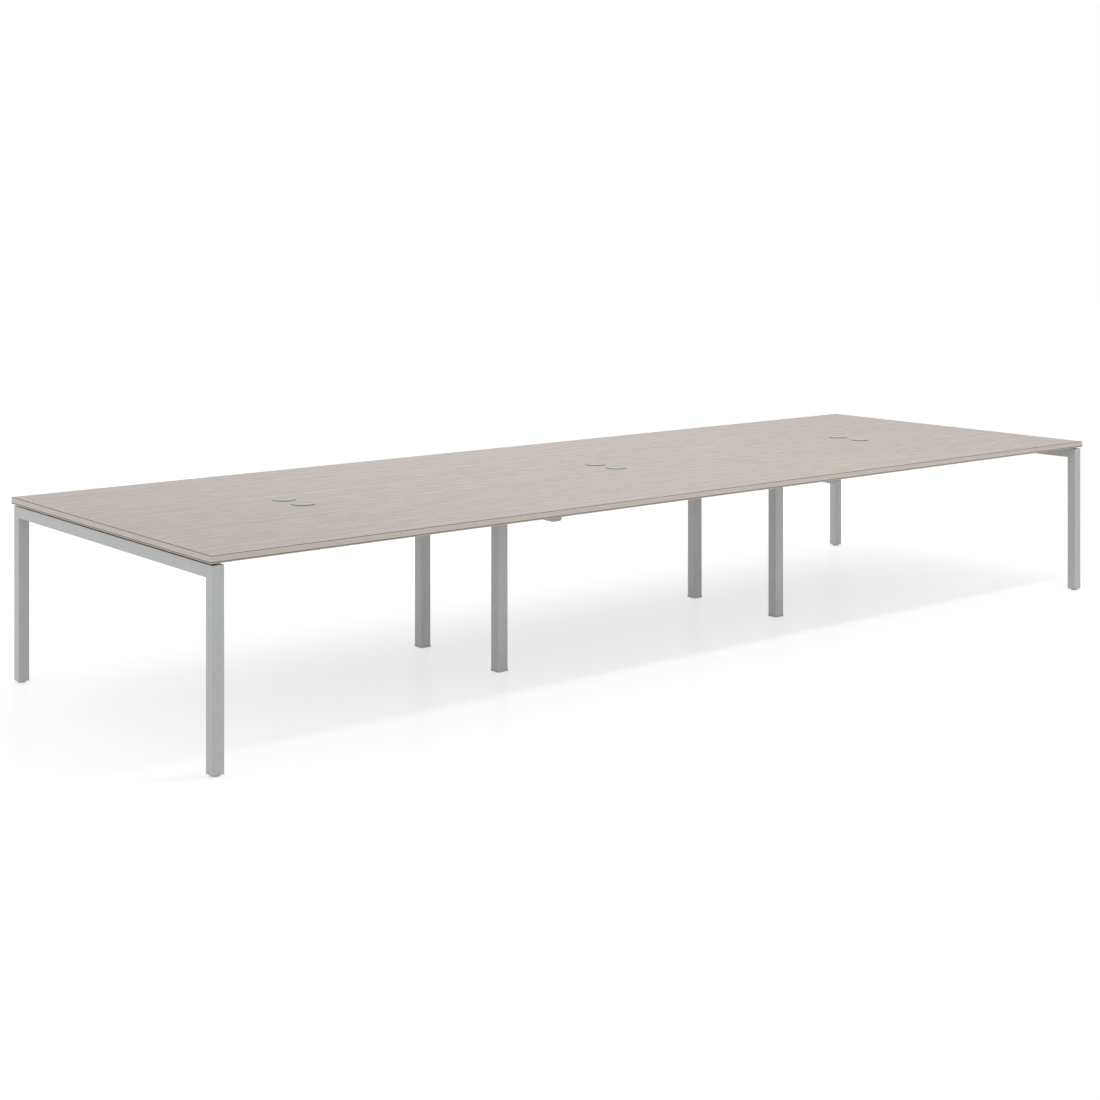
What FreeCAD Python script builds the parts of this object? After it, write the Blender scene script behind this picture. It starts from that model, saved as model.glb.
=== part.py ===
import FreeCAD, Part
import math
import os
import Sketcher
from FreeCAD import Placement, Rotation, Vector
from types import SimpleNamespace

# Coworking desk for six people: three bays in a row, with two worktops back to back in each.
# Millimetres. The origin is on the floor under the middle of the desk, +X runs along the row,
# +Y to the back and +Z up.

SIZES = {
    # Worktops and their edge banding
    "module_length": 1600,      # pitch of the bays along the row
    "module_depth": 800,        # pitch of the worktops across the row
    "top_seam": 1,              # gap between neighbouring worktops
    "top_thickness": 27,
    "work_height": 727,         # floor to worktop surface
    "band_thickness": 2,
    "band_arris": 1.2,          # rounding of the banding's outer edges
    # End portals
    "end_tube": 45,
    "end_corner": 3,            # outer corner radius of the tube
    "end_inset": 8,             # worktop edge to the tube's outer face, along the row
    "end_side_inset": 4,        # the same across the row
    "tube_wall": 2,
    # Intermediate trestles
    "arm_width": 60,
    "arm_height": 45,
    "arm_corner": 8,
    "arm_lower_corner": 15,
    "arm_setback": 175,         # worktop edge to the end of the arm's tube
    "arm_cap_flange": 3,
    "arm_cap_round": 2.2,
    "mid_leg": 50,
    "mid_corner": 5,
    "mid_leg_spacing": 533,     # centre to centre
    "leg_cap_flare": 1.5,       # how far the leg's cap stands out past the tube
    "leg_cap_height": 8,
    "leg_cap_lift": 1.5,        # floor to the cap
    # Plugs and levelling feet
    "plug_depth": 28,
    "plug_clearance": 0.3,
    "plug_flange": 2,
    "pad_diameter": 14,         # a glide's flat contact with the floor
    "pad_slope": 2.8,           # rise of its underside from there to the rim
    "glide_diameter": 34,
    "glide_height": 4,          # of the rim
    "glide_round": 1,
    "glide_clearance": 1,
    "foot_gap": 1,              # thread that shows above the glide of an end leg
    "recess_gap": 1.5,          # room above the glide in the cap of an intermediate leg
    "stud_diameter": 10,
    "stud_length": 40,
    "stud_clearance": 0.1,
    # Lengthwise beams
    "beam_width": 30,
    "beam_height": 45,
    "beam_corner": 4,
    "beam_spacing": 800,        # centre to centre across the desk
    "plate_thickness": 4,
    "plate_width": 90,
    "bolt_spacing": 60,
    # Beam bolts and the rivet nuts that take them
    "bolt_diameter": 8,
    "bolt_length": 16,
    "bolt_head_lip": 2.5,
    "bolt_head_height": 8,
    "bolt_key": 6,              # across the flats of the socket
    "bolt_key_depth": 4,
    "bolt_clearance": 0.25,
    "nut_wall": 1.5,
    "nut_length": 14,
    "nut_bulge": 1.5,           # how far the set nut swells behind the tube's wall
    "nut_bulge_length": 5,
    "thread_clearance": 0.05,
    # Worktop screws, spacers and threaded inserts
    "spacer_height": 6.5,
    "spacer_diameter": 16,
    "screw_diameter": 6,
    "screw_reach": 11,          # length inside the insert
    "screw_head_lip": 3,
    "screw_head_height": 3.5,
    "screw_clearance": 0.3,
    "access_clearance": 1,      # room round the screw's head in the tube's lower wall
    "insert_wall": 2,
    "insert_spare": 2,
    "insert_clearance": 0.05,
    "seam_screw_margin": 100,   # middle seam to the nearest screws
    "bar_screw_margin": 100,    # worktop edge to the outer screws of an end portal
    "arm_screw_margin": 60,     # end of the arm to its outer screws
    "beam_screw_spacing": 800,
    # Cable grommets
    "grommet_spacing": 140,     # centre to centre of a pair
    "grommet_hole": 80,
    "liner_clearance": 0.5,
    "liner_wall": 4.5,
    "liner_lip": 6,             # overlap of the flange on the worktop
    "liner_rise": 3,
    "liner_round": 1.5,
    "liner_depth": 20,
    "seat_width": 4,
    "seat_depth": 2,
    "lid_thickness": 2.2,
    "lid_clearance": 0.3,
    "lid_round": 0.6,
    "dish_margin": 8,           # lid's edge to its dished middle
    "dish_depth": 0.5,
}

BAYS = {"bay1": -1, "bay2": 0, "bay3": 1}
ENDS = {"left": -1, "right": 1}
SIDES = {"front": -1, "back": 1}
HALF_TURN = 180
SMALLEST_CUT = 1.0

doc = FreeCAD.newDocument("CoworkingDesk")
sheet = doc.addObject("Spreadsheet::Sheet", "sizes")
for row, (alias, number) in enumerate(SIZES.items(), start=1):
    sheet.set(f"A{row}", alias)
    sheet.set(f"B{row}", str(number))
    sheet.setAlias(f"B{row}", alias)
doc.recompute()


class Length:
    """A size: a formula of the sheet's cells, and the number that it gives."""

    def __init__(self, formula, value):
        self.formula = formula
        self.value = value

    def __add__(self, other):
        return Length(f"({self.formula} + {other.formula})", self.value + other.value)

    def __sub__(self, other):
        return Length(f"({self.formula} - {other.formula})", self.value - other.value)

    def __mul__(self, factor):
        return Length(f"({self.formula} * ({factor}))", self.value * factor)

    def __neg__(self):
        return self * -1

    def at_least(self, other):
        return Length(f"max({self.formula}; {other.formula})", max(self.value, other.value))

    def at_most(self, other):
        return Length(f"min({self.formula}; {other.formula})", min(self.value, other.value))


ZERO = Length("0", 0.0)
s = SimpleNamespace(**{alias: Length(f"sizes.{alias}", float(sheet.get(alias))) for alias in SIZES})

# Levels and places that several pieces share
board_length = s.module_length - s.top_seam
board_depth = s.module_depth - s.top_seam
half_length = s.module_length * 1.5 - s.top_seam * 0.5
half_depth = s.module_depth - s.top_seam * 0.5
board_bottom = s.work_height - s.top_thickness
frame_top = board_bottom - s.spacer_height
portal_x = half_length - s.end_inset - s.end_tube * 0.5
portal_leg_y = half_depth - s.end_side_inset - s.end_tube * 0.5
glide_top = s.pad_slope + s.glide_height
portal_leg_bottom = glide_top + s.foot_gap + s.plug_flange
trestle_x = s.module_length * 0.5
trestle_leg_y = s.mid_leg_spacing * 0.5
trestle_leg_bottom = s.leg_cap_lift + s.leg_cap_height
arm_half = half_depth - s.arm_setback
beam_y = s.beam_spacing * 0.5
grommet_y = s.grommet_spacing * 0.5
bolt_z = frame_top - s.beam_height * 0.5

# Diameters worked out from what goes through
stud_bore = s.stud_diameter + s.stud_clearance * 2
spacer_bore = s.screw_diameter + s.screw_clearance * 2
screw_head = s.screw_diameter + s.screw_head_lip * 2
access_hole = screw_head + s.access_clearance * 2
insert_length = s.screw_reach + s.insert_spare
insert_hole = s.screw_diameter + s.insert_wall * 2
nut_diameter = s.bolt_diameter + s.nut_wall * 2
liner_bore = s.grommet_hole - s.liner_clearance * 2 - s.liner_wall * 2
lid_diameter = liner_bore + s.seat_width * 2
arm_screw_x = s.arm_width * 0.5 - s.arm_corner - s.spacer_diameter * 0.5

nodes = []


def new_body(label):
    """Start an empty body."""
    body = doc.addObject("PartDesign::Body", label)
    body.Label = label
    return body


def new_sketch(body, plane, level=ZERO):
    """Start a sketch parallel to one of the body's own planes, at a level along the plane's normal."""
    sketch = body.newObject("Sketcher::SketchObject", "Sketch")
    support = next(item for item in body.Origin.OriginFeatures if item.Role == plane)
    sketch.AttachmentSupport = (support, [""])
    sketch.MapMode = "FlatFace"
    sketch.setExpression("AttachmentOffset.Base.z", level.formula)
    return sketch


def dimension(sketch, *constraint, length):
    """Add a driving dimension that follows a formula of the sheet."""
    index = sketch.addConstraint(Sketcher.Constraint(*constraint, length.value))
    sketch.setExpression(f"Constraints[{index}]", length.formula)


def polygon(sketch, corners):
    """Draw a closed outline through corners, each held by its distances from the origin."""
    points = [Vector(x.value, y.value, 0) for x, y in corners]
    lines = []
    for start, end in zip(points, points[1:] + points[:1]):
        lines.append(sketch.addGeometry(Part.LineSegment(start, end), False))
    for line, after in zip(lines, lines[1:] + lines[:1]):
        sketch.addConstraint(Sketcher.Constraint("Coincident", line, 2, after, 1))
    for line, (x, y) in zip(lines, corners):
        dimension(sketch, "DistanceX", -1, 1, line, 1, length=x)
        dimension(sketch, "DistanceY", -1, 1, line, 1, length=y)


def rectangle(sketch, across, tall):
    """Draw a rectangle with sharp corners about the origin."""
    x, y = across * 0.5, tall * 0.5
    polygon(sketch, [(-x, -y), (x, -y), (x, y), (-x, y)])


def rounded_rectangle(sketch, across, tall, corner, lower_corner=None):
    """Draw a rectangle with round corners about the origin; the lower two may have their own radius."""
    lower_corner = lower_corner or corner
    x, y, r, low = across.value / 2, tall.value / 2, corner.value, lower_corner.value
    quarter = math.pi / 2
    runs = [
        ((low - x, -y), (x - low, -y)),
        ((x, low - y), (x, y - r)),
        ((x - r, y), (r - x, y)),
        ((-x, y - r), (-x, low - y)),
    ]
    rounds = [(x - low, low - y, low), (x - r, y - r, r), (r - x, y - r, r), (low - x, low - y, low)]
    lines, arcs = [], []
    for turn, ((start, end), (centre_x, centre_y, radius)) in enumerate(zip(runs, rounds)):
        lines.append(sketch.addGeometry(Part.LineSegment(Vector(*start, 0), Vector(*end, 0)), False))
        circle_line = Part.Circle(Vector(centre_x, centre_y, 0), Vector(0, 0, 1), radius)
        arc = Part.ArcOfCircle(circle_line, (turn - 1) * quarter, turn * quarter)
        arcs.append(sketch.addGeometry(arc, False))
    for line, arc, after in zip(lines, arcs, lines[1:] + lines[:1]):
        sketch.addConstraint(Sketcher.Constraint("Tangent", line, 2, arc, 1))
        sketch.addConstraint(Sketcher.Constraint("Tangent", arc, 2, after, 1))
    bottom, right, top, left = lines
    for line in (bottom, top):
        sketch.addConstraint(Sketcher.Constraint("Horizontal", line))
    for line in (right, left):
        sketch.addConstraint(Sketcher.Constraint("Vertical", line))
    lower_right, upper_right, upper_left, lower_left = arcs
    sketch.addConstraint(Sketcher.Constraint("Equal", upper_right, upper_left))
    sketch.addConstraint(Sketcher.Constraint("Equal", lower_right, lower_left))
    dimension(sketch, "Radius", upper_right, length=corner)
    dimension(sketch, "Radius", lower_right, length=lower_corner)
    dimension(sketch, "DistanceX", -1, 1, right, 1, length=across * 0.5)
    dimension(sketch, "DistanceX", left, 1, -1, 1, length=across * 0.5)
    dimension(sketch, "DistanceY", -1, 1, top, 1, length=tall * 0.5)
    dimension(sketch, "DistanceY", bottom, 1, -1, 1, length=tall * 0.5)


def circle(sketch, x, y, diameter):
    """Draw a circle."""
    line = Part.Circle(Vector(x.value, y.value, 0), Vector(0, 0, 1), diameter.value / 2)
    ring = sketch.addGeometry(line, False)
    dimension(sketch, "DistanceX", -1, 1, ring, 3, length=x)
    dimension(sketch, "DistanceY", -1, 1, ring, 3, length=y)
    dimension(sketch, "Diameter", ring, length=diameter)


def pad(body, sketch, length, both_ways=False, down=False):
    """Raise a sketch into a solid, to one side of its plane or evenly to both."""
    feature = body.newObject("PartDesign::Pad", "Pad")
    feature.Profile = sketch
    feature.setExpression("Length", length.formula)
    if both_ways:
        feature.SideType = "Symmetric"
    feature.Reversed = down


def cut_across(body, sketch):
    """Cut a sketch's outline right through the body, both ways from its plane."""
    feature = body.newObject("PartDesign::Pocket", "Cut")
    feature.Profile = sketch
    feature.Type = "ThroughAll"
    feature.SideType = "Symmetric"


def drill(body, plane, level, centres, diameter, depth, along_normal):
    """Cut round holes of one depth from a plane, along its normal or against it."""
    sketch = new_sketch(body, plane, level)
    for x, y in centres:
        circle(sketch, x, y, diameter)
    feature = body.newObject("PartDesign::Pocket", "Holes")
    feature.Profile = sketch
    feature.setExpression("Length", depth.formula)
    feature.Reversed = along_normal


def revolve(body, corners):
    """Turn an outline of radius and height about the body's own Z axis."""
    sketch = new_sketch(body, "XZ_Plane")
    polygon(sketch, corners)
    feature = body.newObject("PartDesign::Revolution", "Revolution")
    feature.Profile = sketch
    feature.ReferenceAxis = (sketch, ["V_Axis"])
    feature.Angle = 360


def round_rims(body, radius, rims):
    """Round circular edges, each given by its diameter and height."""
    doc.recompute()
    base = body.Tip
    names = []
    for index, edge in enumerate(base.Shape.Edges, start=1):
        if not isinstance(edge.Curve, Part.Circle):
            continue
        for diameter, height in rims:
            same_size = abs(edge.Curve.Radius * 2 - diameter.value) < 0.01
            if same_size and abs(edge.CenterOfMass.z - height.value) < 0.01:
                names.append(f"Edge{index}")
    feature = body.newObject("PartDesign::Fillet", "Rounding")
    feature.Base = (base, names)
    feature.setExpression("Radius", radius.formula)


def place(thing, x, y, z, turn=0):
    """Put a piece at a point, turned about the vertical by whole degrees."""
    thing.Placement = Placement(Vector(), Rotation(Vector(0, 0, 1), turn))
    for axis, length in zip("xyz", (x, y, z)):
        thing.setExpression(f"Placement.Base.{axis}", length.formula)


def keep(thing):
    """List a finished piece as one of the desk's nodes."""
    nodes.append(thing)


def group(label, master, places):
    """Make one node of equal pieces: copies of a master solid, each at its own place."""
    doc.recompute()
    copies = []
    for spot in places:
        copy = master.Shape.copy()
        copy.Placement = spot
        copies.append(copy)
    thing = doc.addObject("Part::Feature", label)
    thing.Label = label
    thing.Shape = Part.makeCompound(copies)
    keep(thing)


def spot_at(x, y, z, turn=None):
    """A place for a copy, from three lengths and an optional rotation."""
    return Placement(Vector(x.value, y.value, z.value), turn or Rotation())


def turn_about_z(degrees):
    """A rotation about the vertical."""
    return Rotation(Vector(0, 0, 1), degrees)


def inner_corner(corner):
    """Inside corner radius of a tube."""
    return (corner - s.tube_wall).at_least(s.tube_wall * 0.25)


def tube(label, plane, across, tall, corner, length, both_ways, lower_corner=None):
    """A square-cut rectangular tube, along the normal of a plane."""
    body = new_body(label)
    sketch = new_sketch(body, plane)
    rounded_rectangle(sketch, across, tall, corner, lower_corner)
    inner_lower = inner_corner(lower_corner or corner)
    inside = (across - s.tube_wall * 2, tall - s.tube_wall * 2)
    rounded_rectangle(sketch, *inside, inner_corner(corner), inner_lower)
    pad(body, sketch, length, both_ways=both_ways)
    return body


def screw_holes(body, tall, centres):
    """Holes for worktop screws in a level tube: small ones above, and larger ones below for the heads."""
    through = s.tube_wall * 2
    drill(body, "XY_Plane", tall * 0.5, centres, spacer_bore, through, along_normal=False)
    drill(body, "XY_Plane", tall * -0.5, centres, access_hole, through, along_normal=True)


def nut_holes(body, across, side, level):
    """Holes for the rivet nuts of both beams, in one side wall of a level tube."""
    centres = []
    for beam in SIDES.values():
        for bolt in SIDES.values():
            centres.append((beam_y * beam + s.bolt_spacing * (0.5 * bolt), level))
    face = across * (0.5 * side)
    drill(body, "YZ_Plane", face, centres, nut_diameter, s.tube_wall * 2, along_normal=side < 0)


def portal_leg(label, end, side):
    """Leg of an end portal, mitred at the top towards the middle of the desk."""
    length = frame_top - portal_leg_bottom
    body = tube(label, "XY_Plane", s.end_tube, s.end_tube, s.end_corner, length, both_ways=False)
    half = s.end_tube * 0.5
    past = s.end_tube
    sketch = new_sketch(body, "YZ_Plane")
    polygon(sketch, [
        (-half - past, length + past),
        (half + past, length + past),
        (half + past, length - s.end_tube - past),
    ])
    cut_across(body, sketch)
    turn = 0 if side < 0 else HALF_TURN
    place(body, portal_x * end, portal_leg_y * side, portal_leg_bottom, turn)
    keep(body)


def portal_crossbar(label, end):
    """Crossbar of an end portal, mitred to the legs at both ends."""
    reach = half_depth - s.end_side_inset
    half = s.end_tube * 0.5
    past = s.end_tube
    body = tube(label, "XZ_Plane", s.end_tube, s.end_tube, s.end_corner, reach * 2, both_ways=True)
    for side in SIDES.values():
        sketch = new_sketch(body, "YZ_Plane")
        polygon(sketch, [
            ((reach + past) * side, half + past),
            ((reach + past) * side, -half - past),
            ((reach - s.end_tube - past) * side, -half - past),
        ])
        cut_across(body, sketch)
    screw_ys = (s.seam_screw_margin, half_depth - s.bar_screw_margin)
    screw_holes(body, s.end_tube, [(ZERO, y * side) for y in screw_ys for side in SIDES.values()])
    nut_holes(body, s.end_tube, -end, s.end_tube * 0.5 - s.beam_height * 0.5)
    place(body, portal_x * end, ZERO, frame_top - half)
    keep(body)


def trestle_arm(label, end):
    """Cross arm of an intermediate trestle: it carries the worktops of two bays."""
    outline = (s.arm_width, s.arm_height, s.arm_corner)
    body = tube(label, "XZ_Plane", *outline, arm_half * 2, both_ways=True, lower_corner=s.arm_lower_corner)
    centres = []
    for y in (s.seam_screw_margin, arm_half - s.arm_screw_margin):
        for side in SIDES.values():
            centres += [(arm_screw_x * bay, y * side) for bay in ENDS.values()]
    screw_holes(body, s.arm_height, centres)
    for side in ENDS.values():
        nut_holes(body, s.arm_width, side, s.arm_height * 0.5 - s.beam_height * 0.5)
    place(body, trestle_x * end, ZERO, frame_top - s.arm_height * 0.5)
    keep(body)


def trestle_leg(label, end, side):
    """Leg of an intermediate trestle, from its cap up to the arm, with its top cut to the arm's outline."""
    under_arm = frame_top - s.arm_height - trestle_leg_bottom
    length = under_arm + s.arm_lower_corner
    body = tube(label, "XY_Plane", s.mid_leg, s.mid_leg, s.mid_corner, length, both_ways=False)
    sketch = new_sketch(body, "XZ_Plane")
    sketch.setExpression("AttachmentOffset.Base.y", (under_arm + s.arm_height * 0.5).formula)
    rounded_rectangle(sketch, s.arm_width, s.arm_height, s.arm_corner, s.arm_lower_corner)
    cut_across(body, sketch)
    place(body, trestle_x * end, trestle_leg_y * side, trestle_leg_bottom)
    keep(body)


def plug(label, across, tall, corner, flare, flange, lower_corner=None):
    """A plug for a tube's end: the flange below z = 0, and the insert above it in the tube."""
    body = new_body(label)
    gap = (s.tube_wall + s.plug_clearance) * 2
    lower_corner = lower_corner or corner
    flange_sketch = new_sketch(body, "XY_Plane")
    outside = (across + flare * 2, tall + flare * 2)
    rounded_rectangle(flange_sketch, *outside, corner + flare, lower_corner + flare)
    pad(body, flange_sketch, flange, down=True)
    insert_sketch = new_sketch(body, "XY_Plane")
    inside = (across - gap, tall - gap)
    rounded_rectangle(insert_sketch, *inside, inner_corner(corner), inner_corner(lower_corner))
    pad(body, insert_sketch, s.plug_depth)
    return body


def leg_plug():
    """Plug of an end leg, with the bore for a foot's stud."""
    body = plug("leg_plug", s.end_tube, s.end_tube, s.end_corner, ZERO, s.plug_flange)
    whole = s.plug_flange + s.plug_depth
    drill(body, "XY_Plane", -s.plug_flange, [(ZERO, ZERO)], stud_bore, whole, along_normal=True)
    return body


def leg_cap():
    """Cap of an intermediate leg, with a recess for the foot's glide and the bore for its stud."""
    body = plug("leg_cap", s.mid_leg, s.mid_leg, s.mid_corner, s.leg_cap_flare, s.leg_cap_height)
    recess = s.glide_diameter + s.glide_clearance * 2
    recess_depth = glide_top - s.leg_cap_lift + s.recess_gap
    centre = [(ZERO, ZERO)]
    bottom = -s.leg_cap_height
    drill(body, "XY_Plane", bottom, centre, recess, recess_depth, along_normal=True)
    drill(body, "XY_Plane", bottom, centre, stud_bore, s.leg_cap_height + s.plug_depth, along_normal=True)
    return body


def arm_cap():
    """Cap of an arm's tip, with its outer edge rounded. It is drawn upside down: its +Y goes down."""
    outline = (s.arm_width, s.arm_height, s.arm_lower_corner)
    body = plug("arm_cap", *outline, ZERO, s.arm_cap_flange, lower_corner=s.arm_corner)
    doc.recompute()
    base = body.Tip
    names = []
    for index, edge in enumerate(base.Shape.Edges, start=1):
        if abs(edge.BoundBox.ZMax + s.arm_cap_flange.value) < 0.01:
            names.append(f"Edge{index}")
    feature = body.newObject("PartDesign::Fillet", "Rounding")
    feature.Base = (base, names)
    feature.setExpression("Radius", s.arm_cap_round.at_most(s.arm_cap_flange * 0.8).formula)
    return body


def foot(label, x, y):
    """Levelling foot: a round glide, sloped underneath, with a threaded stud."""
    body = new_body(label)
    contact, radius, stud = s.pad_diameter * 0.5, s.glide_diameter * 0.5, s.stud_diameter * 0.5
    top = glide_top + s.stud_length
    revolve(body, [
        (ZERO, ZERO),
        (contact, ZERO),
        (radius, s.pad_slope),
        (radius, glide_top),
        (stud, glide_top),
        (stud, top),
        (ZERO, top),
    ])
    rims = [(s.glide_diameter, s.pad_slope), (s.glide_diameter, glide_top)]
    round_rims(body, s.glide_round.at_most(s.glide_height * 0.4), rims)
    place(body, x, y, ZERO)
    keep(body)


def beam_span(bay):
    """Middle and clear length, along X, of the space between two cross members."""
    arm_face = trestle_x + s.arm_width * 0.5
    portal_face = portal_x - s.end_tube * 0.5
    if bay == 0:
        return ZERO, s.module_length - s.arm_width
    return (portal_face + arm_face) * (0.5 * bay), portal_face - arm_face


def beam(label, bay, side):
    """Lengthwise beam of one bay, between its two end plates."""
    middle, span = beam_span(bay)
    length = span - s.plate_thickness * 2
    body = tube(label, "YZ_Plane", s.beam_width, s.beam_height, s.beam_corner, length, both_ways=True)
    bay_middle = s.module_length * bay
    centres = [(bay_middle + s.beam_screw_spacing * (0.5 * end) - middle, ZERO) for end in ENDS.values()]
    screw_holes(body, s.beam_height, centres)
    place(body, middle, beam_y * side, bolt_z)
    keep(body)


def end_plate():
    """End plate of a beam, from x = 0 inwards along +X, with two bolt holes."""
    body = new_body("end_plate")
    sketch = new_sketch(body, "YZ_Plane")
    rectangle(sketch, s.plate_width, s.beam_height)
    pad(body, sketch, s.plate_thickness)
    hole = s.bolt_diameter + s.bolt_clearance * 2
    centres = [(s.bolt_spacing * (0.5 * side), ZERO) for side in SIDES.values()]
    drill(body, "YZ_Plane", ZERO, centres, hole, s.plate_thickness, along_normal=True)
    return body


def beam_bolt():
    """Socket-head bolt: its head stands above z = 0, and its shank goes down."""
    body = new_body("beam_bolt")
    shank, head = s.bolt_diameter * 0.5, s.bolt_diameter * 0.5 + s.bolt_head_lip
    revolve(body, [
        (ZERO, s.bolt_head_height),
        (ZERO, -s.bolt_length),
        (shank, -s.bolt_length),
        (shank, ZERO),
        (head, ZERO),
        (head, s.bolt_head_height),
    ])
    sketch = new_sketch(body, "XY_Plane", s.bolt_head_height)
    corner = s.bolt_key * (1 / math.sqrt(3))
    angles = [math.radians(60 * step) for step in range(6)]
    polygon(sketch, [(corner * math.cos(angle), corner * math.sin(angle)) for angle in angles])
    feature = body.newObject("PartDesign::Pocket", "Socket")
    feature.Profile = sketch
    feature.setExpression("Length", s.bolt_key_depth.formula)
    return body


def rivet_nut():
    """Set rivet nut: flush with the wall's outside at z = 0, and swollen behind the wall."""
    body = new_body("rivet_nut")
    outer, bore = nut_diameter * 0.5, s.bolt_diameter * 0.5 + s.thread_clearance
    bulge = outer + s.nut_bulge
    wall, behind = -s.tube_wall, -s.tube_wall - s.nut_bulge_length
    revolve(body, [
        (bore, ZERO),
        (bore, -s.nut_length),
        (outer, -s.nut_length),
        (outer, behind),
        (bulge, behind),
        (bulge, wall),
        (outer, wall),
        (outer, ZERO),
    ])
    return body


def worktop_spacer():
    """Spacer between a tube and a worktop."""
    body = new_body("worktop_spacer")
    outer, bore = s.spacer_diameter * 0.5, spacer_bore * 0.5
    revolve(body, [(bore, ZERO), (outer, ZERO), (outer, s.spacer_height), (bore, s.spacer_height)])
    return body


def worktop_screw():
    """Pan-head screw: its head hangs below z = 0, under the tube's upper wall."""
    body = new_body("worktop_screw")
    shank, head = s.screw_diameter * 0.5, screw_head * 0.5
    tip = s.tube_wall + s.spacer_height + s.screw_reach
    revolve(body, [
        (ZERO, -s.screw_head_height),
        (head, -s.screw_head_height),
        (head, ZERO),
        (shank, ZERO),
        (shank, tip),
        (ZERO, tip),
    ])
    return body


def threaded_insert():
    """Threaded insert, flush with the underside of a worktop."""
    body = new_body("threaded_insert")
    outer = insert_hole * 0.5 - s.insert_clearance
    bore = s.screw_diameter * 0.5 + s.thread_clearance
    revolve(body, [(bore, ZERO), (outer, ZERO), (outer, insert_length), (bore, insert_length)])
    return body


def fixings(bay, side):
    """Places in plan of the screws that hold one worktop."""
    places = []
    for end in ENDS.values():
        if bay == end:
            x = portal_x * end
            outer = half_depth - s.bar_screw_margin
        else:
            x = s.module_length * (bay + 0.5 * end) - arm_screw_x * end
            outer = arm_half - s.arm_screw_margin
        places += [(x, s.seam_screw_margin * side), (x, outer * side)]
        places.append((s.module_length * bay + s.beam_screw_spacing * (0.5 * end), beam_y * side))
    return places


def worktop(label, bay, side):
    """Board of one worktop, with its grommet hole and the blind holes for its inserts."""
    x, y = s.module_length * bay, s.module_depth * (0.5 * side)
    body = new_body(label)
    sketch = new_sketch(body, "XY_Plane")
    rectangle(sketch, board_length - s.band_thickness * 2, board_depth - s.band_thickness * 2)
    pad(body, sketch, s.top_thickness)
    hole = [(ZERO, grommet_y * side - y)]
    drill(body, "XY_Plane", ZERO, hole, s.grommet_hole, s.top_thickness, along_normal=True)
    centres = [(spot_x - x, spot_y - y) for spot_x, spot_y in fixings(bay, side)]
    drill(body, "XY_Plane", ZERO, centres, insert_hole, insert_length, along_normal=True)
    place(body, x, y, board_bottom)
    keep(body)


def band_strip(label, length, x, y, turn):
    """One mitred strip of edge banding, its outer face on local y = 0, with the outer edges rounded."""
    strip = doc.addObject("Part::Wedge", label)
    inner = length * 0.5 - s.band_thickness
    bounds = {
        "Xmin": length * -0.5, "Xmax": length * 0.5,
        "Ymin": ZERO, "Ymax": s.band_thickness,
        "Zmin": ZERO, "Zmax": s.top_thickness,
        "X2min": -inner, "X2max": inner,
        "Z2min": ZERO, "Z2max": s.top_thickness,
    }
    for name, bound in bounds.items():
        strip.setExpression(name, bound.formula)
    place(strip, x, y, board_bottom, turn)
    doc.recompute()
    radius = s.band_arris.at_most(s.band_thickness * 0.8).value
    outer_edges = []
    for index, edge in enumerate(strip.Shape.Edges, start=1):
        if abs(edge.Length - length.value) < 0.01:
            outer_edges.append((index, radius, radius))
    rounded = doc.addObject("Part::Fillet", label + "_rounded")
    rounded.Base = strip
    rounded.Edges = outer_edges
    return rounded


def edge_bands(label, bay, side):
    """The four strips of banding round one worktop."""
    x, y = s.module_length * bay, s.module_depth * (0.5 * side)
    half_x, half_y = board_length * 0.5, board_depth * 0.5
    runs = [
        (board_length, x, y - half_y),
        (board_depth, x + half_x, y),
        (board_length, x, y + half_y),
        (board_depth, x - half_x, y),
    ]
    strips = []
    for quarter, (length, strip_x, strip_y) in enumerate(runs):
        strips.append(band_strip(f"{label}_strip", length, strip_x, strip_y, 90 * quarter))
    bands = doc.addObject("Part::Compound", label)
    bands.Label = label
    bands.Links = strips
    keep(bands)


def grommet_liner(label, bay, side):
    """Liner of a cable hole: a flange on the worktop, a seat for the lid and a sleeve in the hole."""
    body = new_body(label)
    bore = liner_bore * 0.5
    sleeve = bore + s.liner_wall
    flange = s.grommet_hole * 0.5 + s.liner_lip
    seat = lid_diameter * 0.5 + s.lid_clearance
    seat_level = s.liner_rise - s.seat_depth
    revolve(body, [
        (bore, -s.liner_depth),
        (sleeve, -s.liner_depth),
        (sleeve, ZERO),
        (flange, ZERO),
        (flange, s.liner_rise),
        (seat, s.liner_rise),
        (seat, seat_level),
        (bore, seat_level),
    ])
    round_rims(body, s.liner_round.at_most(s.liner_rise * 0.8), [(flange * 2, s.liner_rise)])
    place(body, s.module_length * bay, grommet_y * side, s.work_height)
    keep(body)


def grommet_lid(label, bay, side):
    """Lid of a cable hole: a shallow dished disc that lies loose on the liner's seat."""
    body = new_body(label)
    edge = lid_diameter * 0.5
    dish = edge - s.dish_margin
    revolve(body, [
        (ZERO, ZERO),
        (edge, ZERO),
        (edge, s.lid_thickness),
        (dish, s.lid_thickness),
        (dish - s.dish_depth, s.lid_thickness - s.dish_depth),
        (ZERO, s.lid_thickness - s.dish_depth),
    ])
    round_rims(body, s.lid_round.at_most(s.lid_thickness * 0.4), [(lid_diameter, s.lid_thickness)])
    seat_level = s.work_height + s.liner_rise - s.seat_depth
    place(body, s.module_length * bay, grommet_y * side, seat_level)
    keep(body)


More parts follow.
